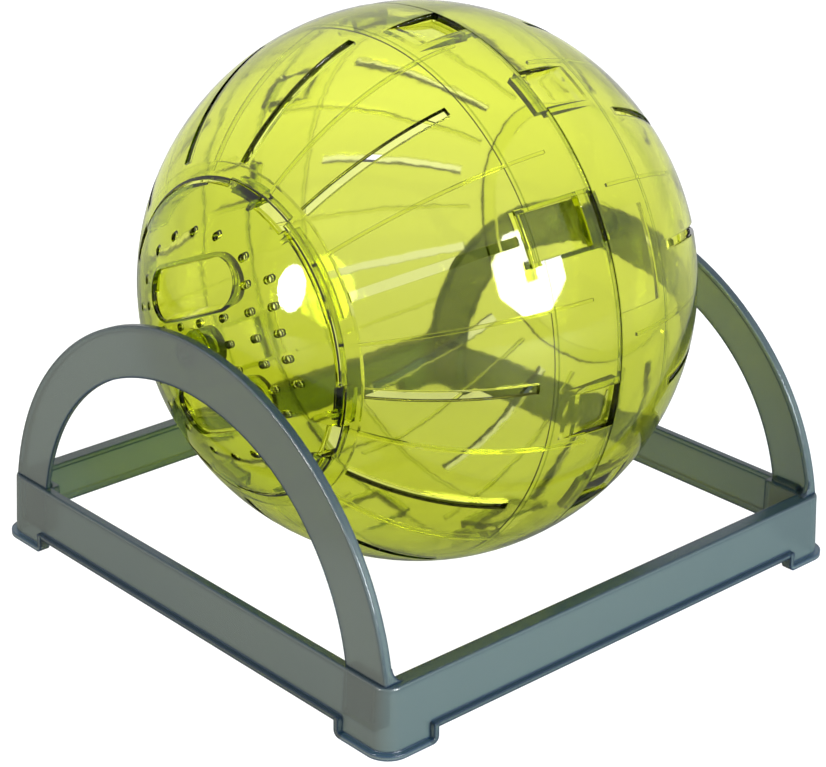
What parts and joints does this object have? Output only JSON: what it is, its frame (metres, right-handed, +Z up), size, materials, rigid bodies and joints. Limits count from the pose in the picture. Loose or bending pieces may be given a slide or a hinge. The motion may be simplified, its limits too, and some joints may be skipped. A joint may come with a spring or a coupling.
{
  "type": "hamster ball on stand",
  "caption": "Clear hamster exercise ball of twist-locked halves with a bayonet door in one of them, spinning on pegs between the arches of a tinted stand.",
  "frame": {"origin": "centre of the stand's footprint, at the height its feet rest on", "axes": "+Z up, +Y along the axis that the ball turns on, from the door at the front to the closed half at the back, +X across the stand"},
  "size_m": [0.1964, 0.2002, 0.1842],
  "materials": {
    "ball_plastic": "clear yellow-green, gloss",
    "stand_plastic": "translucent blue-grey, gloss"
  },
  "bodies": {
    "stand": {"stand_base": "stand_plastic", "arch_front": "stand_plastic", "arch_back": "stand_plastic"},
    "ball_front": {"half_front": "ball_plastic"},
    "ball_back": {"half_back": "ball_plastic"},
    "front_door": {"door_front": "ball_plastic"}
  },
  "joints": [
    {"name": "ball_spin", "type": "hinge", "parent": "stand", "child": "ball_front", "pos_m": [0, 0, 0.0942], "axis": [0, 1, 0], "continuous": true},
    {"name": "half_twist", "type": "hinge", "parent": "ball_front", "child": "ball_back", "pos_m": [0, 0, 0.0942], "axis": [0, 1, 0], "range_deg": [-4.5, 0]},
    {"name": "front_door_twist", "type": "hinge", "parent": "ball_front", "child": "front_door", "pos_m": [0, 0, 0.0942], "axis": [0, 1, 0], "range_deg": [0, 14.5]}
  ]
}
